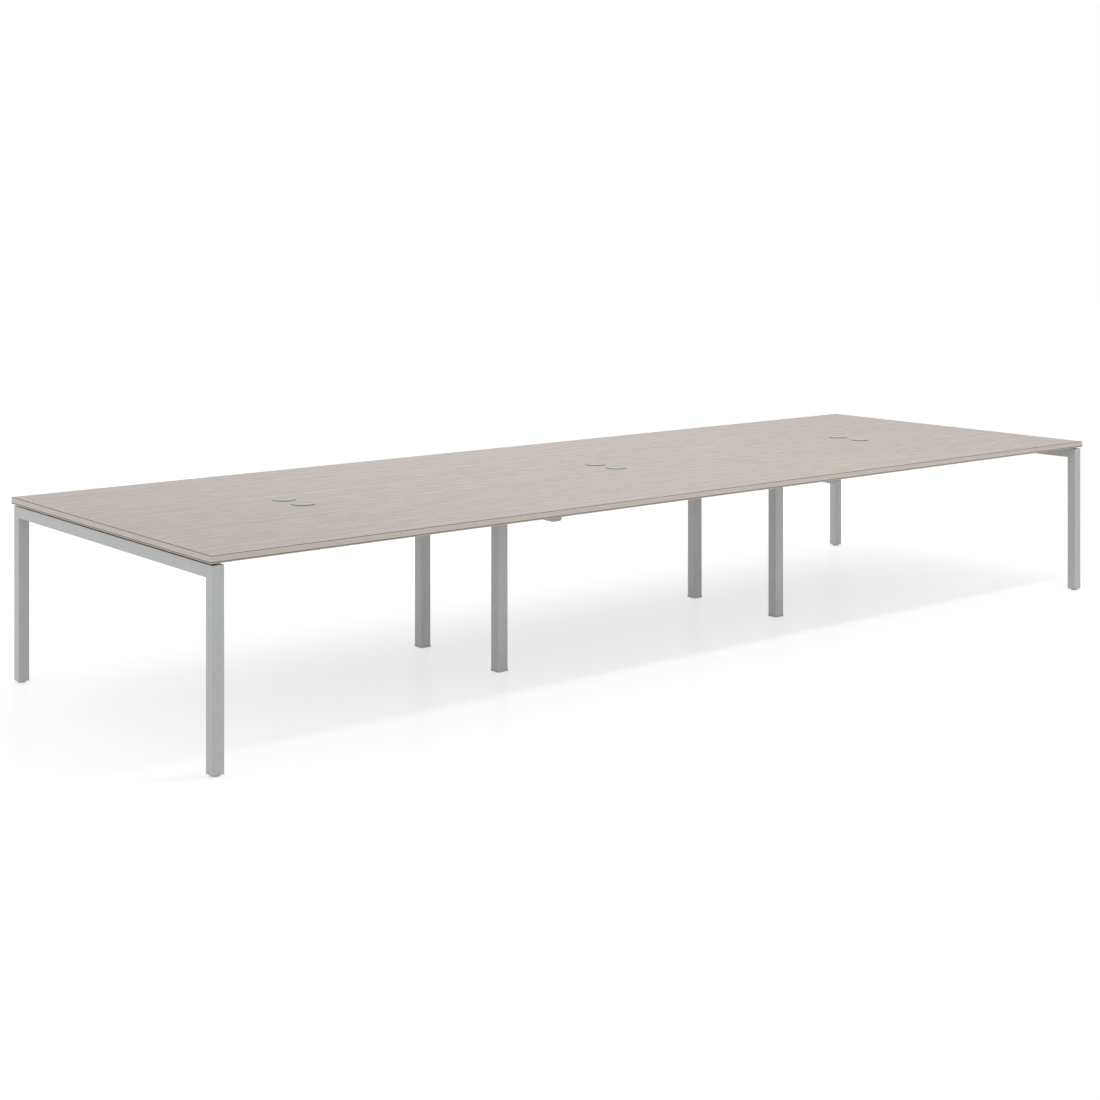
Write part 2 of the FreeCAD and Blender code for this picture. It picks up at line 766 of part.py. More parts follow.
def make_worktops():
    """The six worktops, with their banding and grommets."""
    for bay_name, bay in BAYS.items():
        for side_name, side in SIDES.items():
            where = f"{bay_name}_{side_name}"
            worktop(f"worktop_{where}", bay, side)
            edge_bands(f"edge_bands_{where}", bay, side)
            grommet_liner(f"grommet_liner_{where}", bay, side)
            grommet_lid(f"grommet_lid_{where}", bay, side)


def make_frames():
    """The end portals and the intermediate trestles, with their feet."""
    for end_name, end in ENDS.items():
        portal_crossbar(f"{end_name}_portal_crossbar", end)
        trestle_arm(f"{end_name}_trestle_arm", end)
        for side_name, side in SIDES.items():
            portal_leg(f"{end_name}_portal_leg_{side_name}", end, side)
            trestle_leg(f"{end_name}_trestle_leg_{side_name}", end, side)
            foot(f"{end_name}_portal_foot_{side_name}", portal_x * end, portal_leg_y * side)
            foot(f"{end_name}_trestle_foot_{side_name}", trestle_x * end, trestle_leg_y * side)


def make_caps():
    """The plugs and caps in the open ends of the tubes."""
    plugs, caps, tips = [], [], []
    stand_up = Rotation(Vector(1, 0, 0), -90)
    for end in ENDS.values():
        for side in SIDES.values():
            plugs.append(spot_at(portal_x * end, portal_leg_y * side, portal_leg_bottom))
            caps.append(spot_at(trestle_x * end, trestle_leg_y * side, trestle_leg_bottom))
            outward = turn_about_z(0 if side < 0 else HALF_TURN).multiply(stand_up)
            tips.append(spot_at(trestle_x * end, arm_half * side, frame_top - s.arm_height * 0.5, outward))
    group("portal_leg_plugs", leg_plug(), plugs)
    group("trestle_leg_caps", leg_cap(), caps)
    group("trestle_arm_caps", arm_cap(), tips)


def make_beams():
    """The lengthwise beams, with their end plates, bolts and rivet nuts."""
    plates, bolts, nuts = [], [], []
    along_x = Rotation(Vector(0, 1, 0), 90)
    for bay_name, bay in BAYS.items():
        middle, span = beam_span(bay)
        for side_name, side in SIDES.items():
            beam(f"beam_{bay_name}_{side_name}", bay, side)
            for end in ENDS.values():
                face = middle + span * (0.5 * end)
                inwards = turn_about_z(0 if end < 0 else HALF_TURN)
                plates.append(spot_at(face, beam_y * side, bolt_z, inwards))
                for bolt in SIDES.values():
                    y = beam_y * side + s.bolt_spacing * (0.5 * bolt)
                    to_middle = inwards.multiply(along_x)
                    nuts.append(spot_at(face, y, bolt_z, to_middle))
                    bolts.append(spot_at(face - s.plate_thickness * end, y, bolt_z, to_middle))
    group("beam_end_plates", end_plate(), plates)
    group("beam_bolts", beam_bolt(), bolts)
    group("rivet_nuts", rivet_nut(), nuts)


def make_fixings():
    """The spacers, screws and inserts that hold the worktops on the frame."""
    spots = [spot for bay in BAYS.values() for side in SIDES.values() for spot in fixings(bay, side)]
    group("worktop_spacers", worktop_spacer(), [spot_at(x, y, frame_top) for x, y in spots])
    group("worktop_screws", worktop_screw(), [spot_at(x, y, frame_top - s.tube_wall) for x, y in spots])
    group("threaded_inserts", threaded_insert(), [spot_at(x, y, board_bottom) for x, y in spots])


def check():
    """Stop if a feature failed, a cut removed nothing or a piece isn't a sound solid."""
    for thing in doc.Objects:
        if {"Invalid", "Error"} & set(thing.State):
            raise RuntimeError(f"{thing.Label} failed: {thing.State}")
        if thing.TypeId == "PartDesign::Pocket":
            removed = thing.BaseFeature.Shape.Volume - thing.Shape.Volume
            if removed < SMALLEST_CUT:
                raise RuntimeError(f"{thing.Label} cut nothing")
    for node in nodes:
        if node.Shape.isNull() or not node.Shape.isValid():
            raise RuntimeError(f"{node.Label} isn't a sound shape")


def export():
    """Write each node to its own file."""
    os.makedirs("parts", exist_ok=True)
    for node in nodes:
        node.Shape.exportStep(f"parts/{node.Label}.step")
    print(f"{len(nodes)} nodes, {sum(len(node.Shape.Solids) for node in nodes)} solids")


make_worktops()
make_frames()
make_caps()
make_beams()
make_fixings()
doc.recompute()
check()
export()
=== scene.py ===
"""Looks of a six-place coworking desk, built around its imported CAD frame.

Metres, in the CAD frame: +X along the row of bays, +Y to the back, +Z up, and the floor at z = 0.
"""

import logging
import math
from collections.abc import Callable, Iterator, Sequence
from dataclasses import dataclass, replace
from enum import Enum
from functools import cache, partial
from typing import Any

import bmesh
import bpy
from bpy.types import Material, Mesh, Node, NodeSocket, NodeTree, Object
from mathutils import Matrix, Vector


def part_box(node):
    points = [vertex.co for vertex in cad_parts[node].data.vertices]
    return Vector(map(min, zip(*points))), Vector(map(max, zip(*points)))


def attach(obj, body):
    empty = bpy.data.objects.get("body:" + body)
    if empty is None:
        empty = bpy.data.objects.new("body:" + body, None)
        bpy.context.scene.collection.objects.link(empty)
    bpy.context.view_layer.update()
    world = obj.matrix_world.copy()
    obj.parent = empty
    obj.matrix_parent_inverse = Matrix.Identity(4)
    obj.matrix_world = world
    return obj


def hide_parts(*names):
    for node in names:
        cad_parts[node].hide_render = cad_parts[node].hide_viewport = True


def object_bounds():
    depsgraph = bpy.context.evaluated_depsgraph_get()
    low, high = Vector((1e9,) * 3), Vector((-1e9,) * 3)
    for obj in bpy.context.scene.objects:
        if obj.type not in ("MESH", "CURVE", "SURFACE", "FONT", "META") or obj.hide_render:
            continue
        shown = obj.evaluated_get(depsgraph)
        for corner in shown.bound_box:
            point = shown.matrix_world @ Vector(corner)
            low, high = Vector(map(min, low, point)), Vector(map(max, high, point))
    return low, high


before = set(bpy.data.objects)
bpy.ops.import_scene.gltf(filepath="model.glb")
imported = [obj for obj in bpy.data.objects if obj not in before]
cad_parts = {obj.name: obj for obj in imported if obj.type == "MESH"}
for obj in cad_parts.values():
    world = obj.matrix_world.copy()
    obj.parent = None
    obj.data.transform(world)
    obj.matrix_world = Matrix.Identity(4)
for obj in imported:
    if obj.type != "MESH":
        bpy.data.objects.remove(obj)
CAD_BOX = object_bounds()

LOG = logging.getLogger("coworking_desk")
MM = 0.001
DESK = "desk"
SAME_POINT = 0.01 * MM

# How many sides the round sections have.
HEAD_SIDES = 32
SHANK_SIDES = 20
HEXAGON_SIDES = 6
BEAD_SIDES = 10
STUD_SIDES = 24
TOOTH_SIDES = 4

Place = tuple[float, float, float]
Span = tuple[float, float]
Box = tuple[Vector, Vector]
Loop = list[Vector]
Inputs = dict[str | int, Any]
Adder = Callable[..., Node]
Source = Node | NodeSocket


class Station(Enum):
    """A named place along one axis of the desk."""

    @property
    def label(self) -> str:
        """The place's word in the names of the CAD nodes."""
        return self.name.lower()


class Bay(Station):
    """The three bays along the row, by their step along X."""

    BAY1 = -1
    BAY2 = 0
    BAY3 = 1


class Side(Station):
    """The two long sides, by their sign along Y."""

    FRONT = -1
    BACK = 1


class End(Station):
    """The two ends of the row, by their sign along X."""

    LEFT = -1
    RIGHT = 1


def seats(kind: str) -> list[str]:
    """Name the six nodes of a kind that every place at the desk has."""
    return [f"{kind}_{bay.label}_{side.label}" for bay in Bay for side in Side]


def linear(code: str) -> tuple[float, float, float, float]:
    """Turn an sRGB hex colour into a linear one.

    Args:
        code: The colour as "#rrggbb".

    Returns:
        Linear red, green, blue, and an alpha of one.
    """
    parts = [int(code[at:at + 2], 16) / 255 for at in (1, 3, 5)]
    light = [part / 12.92 if part <= 0.04045 else ((part + 0.055) / 1.055) ** 2.4 for part in parts]
    return (*light, 1.0)


def set_inputs(tree: NodeTree, node: Node, inputs: Inputs) -> None:
    """Set the inputs of a node, or link them.

    Args:
        tree: The node tree.
        node: The node.
        inputs: By an input's name or index: a value, or a node or socket to link from, or a list of these.
    """
    for key, value in inputs.items():
        if isinstance(key, int):
            socket = node.inputs[key]
        else:
            socket = next(item for item in node.inputs if item.name == key and item.enabled)
        for item in value if isinstance(value, list) else [value]:
            if isinstance(item, Node):
                item = next(out for out in item.outputs if out.enabled)
            if isinstance(item, NodeSocket):
                tree.links.new(item, socket)
            else:
                socket.default_value = item


def add_node(tree: NodeTree, kind: str, inputs: Inputs | None = None, **settings: Any) -> Node:
    """Add a node to a tree, with its settings and links.

    Args:
        tree: The node tree.
        kind: The node's type, where a shader node goes without its prefix.
        inputs: What its inputs take, as in set_inputs.
        settings: The node's own properties.

    Returns:
        The new node.
    """
    node = tree.nodes.new(kind if "Node" in kind else f"ShaderNode{kind}")
    for name, value in settings.items():
        setattr(node, name, value)
    set_inputs(tree, node, inputs or {})
    return node


@dataclass(frozen=True)
class Finish:
    """A surface finish, named for the real material."""

    name: str

    def paint(self, add: Adder) -> Inputs:
        """Add this finish's nodes.

        Args:
            add: Adds a node to the material's tree.

        Returns:
            What the surface shader takes in.
        """
        raise NotImplementedError


@cache
def material_of(finish: Finish) -> Material:
    """Make the material of a finish once.

    Args:
        finish: The finish.

    Returns:
        Its material.
    """
    material = bpy.data.materials.new(finish.name)
    material.use_nodes = True
    tree = material.node_tree
    set_inputs(tree, tree.nodes["Principled BSDF"], finish.paint(partial(add_node, tree)))
    return material


@dataclass(frozen=True)
class Layer:
    """A noise stretched along the grain, with the weight that it has in the print."""

    length: float
    width: float
    detail: float
    weight: float


@dataclass(frozen=True)
class Melamine(Finish):
    """Melamine-faced board, printed and embossed as a pale grey oak with its grain along X.

    The print gives broad and narrow streaks, broken growth lines and short dark pores. The pressed surface
    is matt with a slight sheen at a low angle. The cut walls of holes show the particle board inside.
    """

    name: str = "grey_oak_melamine"
    light: str = "#d4c9c0"
    dark: str = "#ada299"
    base_tone: float = -0.695
    streak: Layer = Layer(900 * MM, 20 * MM, 2.0, 0.45)
    ray: Layer = Layer(110 * MM, 11 * MM, 2.0, 1.5)
    fibre: Layer = Layer(170 * MM, 1.6 * MM, 2.0, 0.45)
    fibre_span: Span = (0.25, 0.75)
    pore: Layer = Layer(14 * MM, 0.7 * MM, 1.0, -0.30)
    pore_span: Span = (0.62, 0.70)
    # Real growth lines lie a few millimetres apart; they are drawn coarser so that they show.
    growth_pitch: float = 38 * MM
    growth_weight: float = 0.46
    # The weight here is how many pitches a growth line is put off, so that it breaks.
    growth_break: Layer = Layer(1300 * MM, 60 * MM, 1.0, 1.5)
    wander_length: float = 1100 * MM
    wander_width: float = 250 * MM
    wander_depth: float = 9 * MM
    roughness: Span = (0.50, 0.40)
    emboss_strength: float = 0.35
    emboss_depth: float = 0.08 * MM
    chip_light: str = "#c9b08c"
    chip_dark: str = "#8d7351"
    chip_size: float = 2.4 * MM

    def paint(self, add: Adder) -> Inputs:
        """Draw the printed grain, its pores and the raw core.

        Args:
            add: Adds a node to the material's tree.

        Returns:
            What the surface shader takes in.
        """
        where = add("TexCoord").outputs
        slow = add("Mapping", {
            "Vector": where["Object"], "Scale": (1 / self.wander_length, 1 / self.wander_width, 1.0)})
        wander = add("TexNoise", {"Vector": slow, "Scale": 1.0, "Detail": 1.0})
        shift = add("Math", {0: wander, 1: self.wander_depth}, operation="MULTIPLY")
        bend = add("CombineXYZ", {"Y": shift})
        grain = add("VectorMath", {0: where["Object"], 1: bend}, operation="ADD")
        layers = []
        for layer in (self.streak, self.ray, self.fibre, self.pore, self.growth_break):
            stretch = add("Mapping", {
                "Vector": grain, "Scale": (1 / layer.length, 1 / layer.width, 1 / layer.width)})
            layers.append(add("TexNoise", {"Vector": stretch, "Scale": 1.0, "Detail": layer.detail}))
        streaks, rays, fibres, specks, breaks = layers
        pores = add("MapRange", {
            "Value": specks, "From Min": self.pore_span[0], "From Max": self.pore_span[1]},
            interpolation_type="SMOOTHSTEP")

        across = add("SeparateXYZ", {0: grain}).outputs["Y"]
        turns = add("Math", {0: across, 1: self.growth_pitch}, operation="DIVIDE")
        broken = add("Math", {0: breaks, 1: self.growth_break.weight, 2: turns}, operation="MULTIPLY_ADD")
        angle = add("Math", {0: broken, 1: math.tau}, operation="MULTIPLY")
        lines = add("Math", {0: angle}, operation="SINE")
        growth = add("Math", {0: lines, 1: rays}, operation="MULTIPLY")

        tone = self.base_tone
        for value, weight in (
            (streaks, self.streak.weight),
            (rays, self.ray.weight),
            (fibres, self.fibre.weight),
            (growth, self.growth_weight),
            (pores, self.pore.weight),
        ):
            tone = add("Math", {0: value, 1: weight, 2: tone}, operation="MULTIPLY_ADD")
        printed = add("Mix", {
            "Factor": tone, "A": linear(self.dark), "B": linear(self.light)}, data_type="RGBA")

        chips = add("TexVoronoi", {"Vector": where["Object"], "Scale": 1 / self.chip_size})
        flecks = add("SeparateColor", {0: chips.outputs["Color"]})
        core = add("Mix", {
            "Factor": flecks, "A": linear(self.chip_dark), "B": linear(self.chip_light)}, data_type="RGBA")
        facing = add("SeparateXYZ", {0: where["Normal"]}).outputs["Z"]
        level = add("Math", {0: facing}, operation="ABSOLUTE")
        colour = add("Mix", {"Factor": level, "A": core, "B": printed}, data_type="RGBA")
        sheen = add("MapRange", {
            "Value": fibres, "From Min": self.fibre_span[0], "From Max": self.fibre_span[1],
            "To Min": self.roughness[0], "To Max": self.roughness[1]})
        emboss = add("Math", {0: fibres, 1: pores}, operation="SUBTRACT")
        relief = add("Bump", {
            "Height": emboss, "Strength": self.emboss_strength, "Distance": self.emboss_depth})
        return {"Base Color": colour, "Roughness": sheen, "Normal": relief}


@dataclass(frozen=True)
class EdgeBand(Finish):
    """ABS edge banding, printed to go with the board and a little warmer.

    A dark line of painted shade runs along the arris at the top of the outer edges, and low on the
    banding runs a darker, browner strip of painted shade. Fine printed grain runs along each strip.
    """

    name: str = "grey_oak_abs_banding"
    light: str = "#e5dbd1"
    dark: str = "#d1c6bb"
    # Painted shade: the dark line along the top arris of the outer edges.
    arris: str = "#14110f"
    # Painted shade: the darker, browner strip low on the banding.
    foot: str = "#8a8078"
    grain_length: float = 140 * MM
    grain_height: float = 0.9 * MM
    grain_span: Span = (0.3, 0.7)
    surface_level: float = 0.0
    outer_x: float = 0.0
    outer_y: float = 0.0
    arris_height: float = 1.2 * MM
    foot_depth: float = 20.2 * MM
    foot_end: float = 24.3 * MM
    blend: float = 0.4 * MM
    roughness: Span = (0.38, 0.52)
    arris_roughness: float = 0.9
    emboss_strength: float = 0.25
    emboss_depth: float = 0.05 * MM

    def paint(self, add: Adder) -> Inputs:
        """Draw the grain along the strips, and the painted shade of the dark arris line and the lower strip.

        Args:
            add: Adds a node to the material's tree.

        Returns:
            What the surface shader takes in.
        """
        spot = add("TexCoord").outputs["Object"]
        place = add("SeparateXYZ", {0: spot}).outputs
        run = add("Math", {0: place["X"], 1: place["Y"]}, operation="ADD")
        strip = add("CombineXYZ", {"X": run, "Y": place["Z"]})
        stretch = add("Mapping", {
            "Vector": strip, "Scale": (1 / self.grain_length, 1 / self.grain_height, 1.0)})
        grain = add("TexNoise", {"Vector": stretch, "Scale": 1.0, "Detail": 3.0})
        tone = add("MapRange", {
            "Value": grain, "From Min": self.grain_span[0], "From Max": self.grain_span[1]})
        band = add("Mix", {
            "Factor": tone, "A": linear(self.dark), "B": linear(self.light)}, data_type="RGBA")

        levels = []
        for depth, blend in (
            (self.foot_depth, -self.blend),
            (self.foot_end, self.blend),
            (self.arris_height, self.blend),
        ):
            level = self.surface_level - depth
            levels.append(add("MapRange", {
                "Value": place["Z"], "From Min": level - blend, "From Max": level + blend}))
        below_strip, above_end, at_arris = levels
        # Painted shade: the darker, browner strip low on the banding.
        foot = add("Math", {0: below_strip, 1: above_end}, operation="MULTIPLY")
        with_lower_shade = add("Mix", {"Factor": foot, "A": band, "B": linear(self.foot)}, data_type="RGBA")

        outer = []
        for axis, edge in (("X", self.outer_x), ("Y", self.outer_y)):
            reach = add("Math", {0: place[axis]}, operation="ABSOLUTE")
            outer.append(add("Math", {0: reach, 1: edge}, operation="GREATER_THAN"))
        near = add("Math", {0: outer[0], 1: outer[1]}, operation="MAXIMUM")
        # Painted shade: a dark line at the top arris of the outer edges.
        line = add("Math", {0: at_arris, 1: near}, operation="MULTIPLY")
        colour = add("Mix", {"Factor": line, "A": with_lower_shade, "B": linear(self.arris)}, data_type="RGBA")
        sheen = add("MapRange", {"Value": grain, "To Min": self.roughness[0], "To Max": self.roughness[1]})
        gloss = add("Mix", {"Factor": line, "A": sheen, "B": self.arris_roughness}, data_type="FLOAT")
        relief = add("Bump", {
            "Height": grain, "Strength": self.emboss_strength, "Distance": self.emboss_depth})
        return {"Base Color": colour, "Roughness": gloss, "Normal": relief}


@dataclass(frozen=True)
class PowderCoat(Finish):
    """Silver powder coat on steel tube.

    Baked powder flows into a soft orange peel, and its aluminium flakes give a fine sparkle. Near the
    floor shoes and mops leave faint scuffs; the ledges, all under the tops, get painted shade.
    """

    name: str = "silver_powder_coat"
    base: str = "#c4c5c5"
    flake: str = "#d4d5d5"
    # Real flakes are finer than 0.1 mm; they are drawn coarser so that the sparkle shows.
    flake_size: float = 0.9 * MM
    cloud_size: float = 90 * MM
    peel_size: float = 1.6 * MM
    peel_depth: float = 0.05 * MM
    peel_strength: float = 0.3
    scuff: str = "#a6a6a4"
    scuff_height: float = 110 * MM
    scuff_size: float = 14 * MM
    scuff_span: Span = (0.55, 0.75)
    scuff_share: float = 0.7
    # Painted shade for the upward ledges under the tops.
    dust: str = "#676461"
    dust_facing: Span = (0.75, 0.98)
    roughness: Span = (0.26, 0.40)
    metallic: float = 0.12

    def paint(self, add: Adder) -> Inputs:
        """Draw the flakes, the orange peel, the scuffs near the floor and the painted shade on the ledges.

        Args:
            add: Adds a node to the material's tree.

        Returns:
            What the surface shader takes in.
        """
        where = add("TexCoord").outputs
        spot = where["Object"]
        flakes = add("TexVoronoi", {"Vector": spot, "Scale": 1 / self.flake_size})
        sparkle = add("SeparateColor", {0: flakes.outputs["Color"]})
        clouds, marks, peel = [
            add("TexNoise", {"Vector": spot, "Scale": 1 / size, "Detail": detail})
            for size, detail in ((self.cloud_size, 2.0), (self.scuff_size, 4.0), (self.peel_size, 1.0))
        ]
        tone = add("Math", {0: sparkle, 1: clouds}, operation="MULTIPLY")
        paint = add("Mix", {
            "Factor": tone, "A": linear(self.base), "B": linear(self.flake)}, data_type="RGBA")
        height = add("SeparateXYZ", {0: spot}).outputs["Z"]
        low = add("MapRange", {
            "Value": height, "From Min": self.scuff_height, "From Max": 0.0, "To Max": self.scuff_share})
        rubbed = add("MapRange", {
            "Value": marks, "From Min": self.scuff_span[0], "From Max": self.scuff_span[1]})
        scuffs = add("Math", {0: low, 1: rubbed}, operation="MULTIPLY")
        worn = add("Mix", {"Factor": scuffs, "A": paint, "B": linear(self.scuff)}, data_type="RGBA")
        # Painted shade: upward faces, the ledges under the tops, are darkened.
        facing = add("SeparateXYZ", {0: where["Normal"]}).outputs["Z"]
        shaded_ledges = add("MapRange", {
            "Value": facing, "From Min": self.dust_facing[0], "From Max": self.dust_facing[1]})
        colour = add("Mix", {"Factor": shaded_ledges, "A": worn, "B": linear(self.dust)}, data_type="RGBA")
        sheen = add("MapRange", {
            "Value": sparkle.outputs["Green"], "To Min": self.roughness[0], "To Max": self.roughness[1]})
        relief = add("Bump", {"Height": peel, "Strength": self.peel_strength, "Distance": self.peel_depth})
        return {"Base Color": colour, "Roughness": sheen, "Normal": relief, "Metallic": self.metallic}


@dataclass(frozen=True)
class Moulded(Finish):
    """Injection-moulded plastic with a spark-eroded surface.

    The mould's fine pitting scatters the light, and the flow of the melt leaves slow, faint clouds. Below
    a set level, where a piece stands on another, the colour is darkened with painted contact shade.
    """

    base: str
    cloud: str
    roughness: Span = (0.42, 0.58)
    ior: float = 1.5
    pit_size: float = 0.7 * MM
    pit_depth: float = 0.04 * MM
    pit_strength: float = 0.3
    cloud_size: float = 18 * MM
    tone_span: Span = (0.6, 1.4)
    # Painted contact shade below the level where a piece stands on another.
    grime: str = "#7f7d79"
    grime_level: float = 0.0
    grime_blend: float = 0.3 * MM

    def paint(self, add: Adder) -> Inputs:
        """Draw the pitting, the flow clouds and the painted contact shade.

        Args:
            add: Adds a node to the material's tree.

        Returns:
            What the surface shader takes in.
        """
        spot = add("TexCoord").outputs["Object"]
        pits, clouds = [
            add("TexNoise", {"Vector": spot, "Scale": 1 / size, "Detail": 2.0})
            for size in (self.pit_size, self.cloud_size)
        ]
        mottle = add("Math", {0: pits, 1: clouds}, operation="ADD")
        tone = add("MapRange", {
            "Value": mottle, "From Min": self.tone_span[0], "From Max": self.tone_span[1]})
        clean = add("Mix", {
            "Factor": tone, "A": linear(self.base), "B": linear(self.cloud)}, data_type="RGBA")
        # Painted shade: darker below the level where the piece stands on another.
        height = add("SeparateXYZ", {0: spot}).outputs["Z"]
        dust = add("MapRange", {
            "Value": height, "From Min": self.grime_level + self.grime_blend,
            "From Max": self.grime_level - self.grime_blend})
        colour = add("Mix", {"Factor": dust, "A": clean, "B": linear(self.grime)}, data_type="RGBA")
        sheen = add("MapRange", {"Value": pits, "To Min": self.roughness[0], "To Max": self.roughness[1]})
        relief = add("Bump", {"Height": pits, "Strength": self.pit_strength, "Distance": self.pit_depth})
        return {"Base Color": colour, "Roughness": sheen, "Normal": relief, "IOR": self.ior}


@dataclass(frozen=True)
class ZincPlate(Finish):
    """Bright zinc plate on steel: a cool mirror dulled by fine drawing marks and faint passivation tints."""

    name: str = "bright_zinc_steel"
    base: str = "#c3c7cc"
    tint: str = "#cfc9b8"
    tint_size: float = 6 * MM
    mark_size: float = 0.5 * MM
    roughness: Span = (0.22, 0.46)

    def paint(self, add: Adder) -> Inputs:
        """Draw the tints and the drawing marks.

        Args:
            add: Adds a node to the material's tree.

        Returns:
            What the surface shader takes in.
        """
        spot = add("TexCoord").outputs["Object"]
        tints, marks = [
            add("TexNoise", {"Vector": spot, "Scale": 1 / size, "Detail": 2.0})
            for size in (self.tint_size, self.mark_size)
        ]
        colour = add("Mix", {
            "Factor": tints, "A": linear(self.base), "B": linear(self.tint)}, data_type="RGBA")
        sheen = add("MapRange", {"Value": marks, "To Min": self.roughness[0], "To Max": self.roughness[1]})
        return {"Base Color": colour, "Roughness": sheen, "Metallic": 1.0}


POWDER_COAT = PowderCoat()
ZINC = ZincPlate()
CAP_PLASTIC = Moulded("grey_polypropylene", "#c4c5c5", "#cccdcd")
GLIDE_NYLON = Moulded("grey_nylon", "#a3a4a5", "#adaeaf", roughness=(0.5, 0.65), ior=1.53)
GROMMET_ABS = Moulded("silver_grey_abs", "#7f8385", "#878a8c", roughness=(0.09, 0.15), ior=1.54)
SPACER_RUBBER = Moulded("black_rubber", "#1b1b1b", "#232323", roughness=(0.65, 0.8), ior=1.52)


def dress(finish: Finish, *nodes: str) -> None:
    """Give CAD nodes a finish.

    Args:
        finish: What they are made of.
        nodes: The nodes' names.
    """
    for node in nodes:
        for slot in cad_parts[node].material_slots:
            slot.material = material_of(finish)
        LOG.info("dressed %s in %s", node, finish.name)


def solids_of(node: str) -> list[Box]:
    """Find the separate solids of a CAD node.

    Args:
        node: The node's name.

    Returns:
        The lowest and highest corner of each solid, in the order of the mesh.
    """
    work = bmesh.new()
    work.from_mesh(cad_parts[node].data)
    bmesh.ops.remove_doubles(work, verts=work.verts, dist=SAME_POINT)
    boxes = []
    left = dict.fromkeys(work.verts)
    while left:
        reached = [next(iter(left))]
        del left[reached[0]]
        for vert in reached:
            near = [other for edge in vert.link_edges if (other := edge.other_vert(vert)) in left]
            for other in near:
                del left[other]
            reached.extend(near)
        points = [vert.co for vert in reached]
        low, high = (Vector([pick(line) for line in zip(*points)]) for pick in (min, max))
        boxes.append((low, high))
    work.free()
    return boxes


def middle(box: Box) -> Vector:
    """Return the middle of a box."""
    return (box[0] + box[1]) / 2


def new_piece(name: str, mesh: Mesh) -> Object:
    """Make an object of a mesh and put it in the scene.

    Args:
        name: The piece's name.
        mesh: Its mesh, with its place in it.

    Returns:
        The object, at the origin.
    """
    piece = bpy.data.objects.new(name, mesh)
    bpy.context.scene.collection.objects.link(piece)
    return piece


def points_piece(name: str, places: Sequence[Vector], facings: Sequence[Vector]) -> Object:
    """Make a piece of loose points that each know which way they face.

    Args:
        name: The piece's name.
        places: The points.
        facings: The direction in which each point's copy looks.

    Returns:
        The piece, for a node tree to set copies on.
    """
    mesh = bpy.data.meshes.new(name)
    mesh.from_pydata(places, [], [])
    facing = mesh.attributes.new("facing", "FLOAT_VECTOR", "POINT")
    facing.data.foreach_set("vector", [number for way in facings for number in way])
    return new_piece(name, mesh)


def loops_piece(name: str, loops: Sequence[Loop], closed: bool) -> Object:
    """Make a piece of polylines for a node tree to follow.

    Args:
        name: The piece's name.
        loops: The lines' points.
        closed: Whether each line returns to its start.

    Returns:
        The piece.
    """
    points, edges = [], []
    for loop in loops:
        first = len(points)
        points.extend(loop)
        edges.extend((first + step, first + step + 1) for step in range(len(loop) - 1))
        if closed:
            edges.append((first + len(loop) - 1, first))
    mesh = bpy.data.meshes.new(name)
    mesh.from_pydata(points, edges, [])
    return new_piece(name, mesh)


class NodeShape:
    """A Geometry Nodes tree with named inputs, built once and used by several pieces."""

    def __init__(self, name: str, sizes: dict[str, tuple[str, ...]]) -> None:
        """Start a tree.

        Args:
            name: The tree's name.
            sizes: The names of its inputs, by the kind of their sockets.
        """
        self.tree = bpy.data.node_groups.new(name, "GeometryNodeTree")
        self.tree.is_modifier = True
        self.add = partial(add_node, self.tree)
        face = self.tree.interface
        face.new_socket("Geometry", in_out="INPUT", socket_type="NodeSocketGeometry")
        face.new_socket("Geometry", in_out="OUTPUT", socket_type="NodeSocketGeometry")
        self.keys = {
            size: face.new_socket(size, in_out="INPUT", socket_type=f"NodeSocket{kind}").identifier
            for kind, names in sizes.items() for size in names
        }
        self.given = self.add("NodeGroupInput").outputs

    def half(self, size: str) -> Node:
        """Return half of a named input."""
        return self.add("Math", {0: self.given[size], 1: 0.5}, operation="MULTIPLY")

    def moved(self, shape: Source, height: Source) -> Node:
        """Return a shape moved along Z by a height."""
        way = self.add("CombineXYZ", {"Z": height})
        return self.add("GeometryNodeTransform", {"Geometry": shape, "Translation": way})

    def finished(self, shape: Source) -> Node:
        """Return a shape with its copies made real and the named finish on it."""
        real = self.add("GeometryNodeRealizeInstances", {"Geometry": shape})
        return self.add("GeometryNodeSetMaterial", {"Geometry": real, "Material": self.given["Finish"]})

    def end(self, shape: Source) -> None:
        """Close the tree with its shape."""
        self.add("NodeGroupOutput", {"Geometry": shape})

    def run(self, piece: Object, sizes: dict[str, Any], crease: float = 35.0) -> None:
        """Run the tree on a piece, and keep the result as its plain mesh.

        Args:
            piece: The piece, whose mesh the tree takes in.
            sizes: A value for each named input.
            crease: The angle in degrees from which an edge stays sharp.
        """
        modifier = piece.modifiers.new(self.tree.name, "NODES")
        modifier.node_group = self.tree
        for size, value in sizes.items():
            modifier[self.keys[size]] = value
        shape = piece.evaluated_get(bpy.context.evaluated_depsgraph_get())
        mesh = bpy.data.meshes.new_from_object(shape)
        piece.modifiers.remove(modifier)
        mesh.name = piece.name
        mesh.shade_smooth()
        mesh.set_sharp_from_angle(angle=math.radians(crease))
        piece.data = mesh


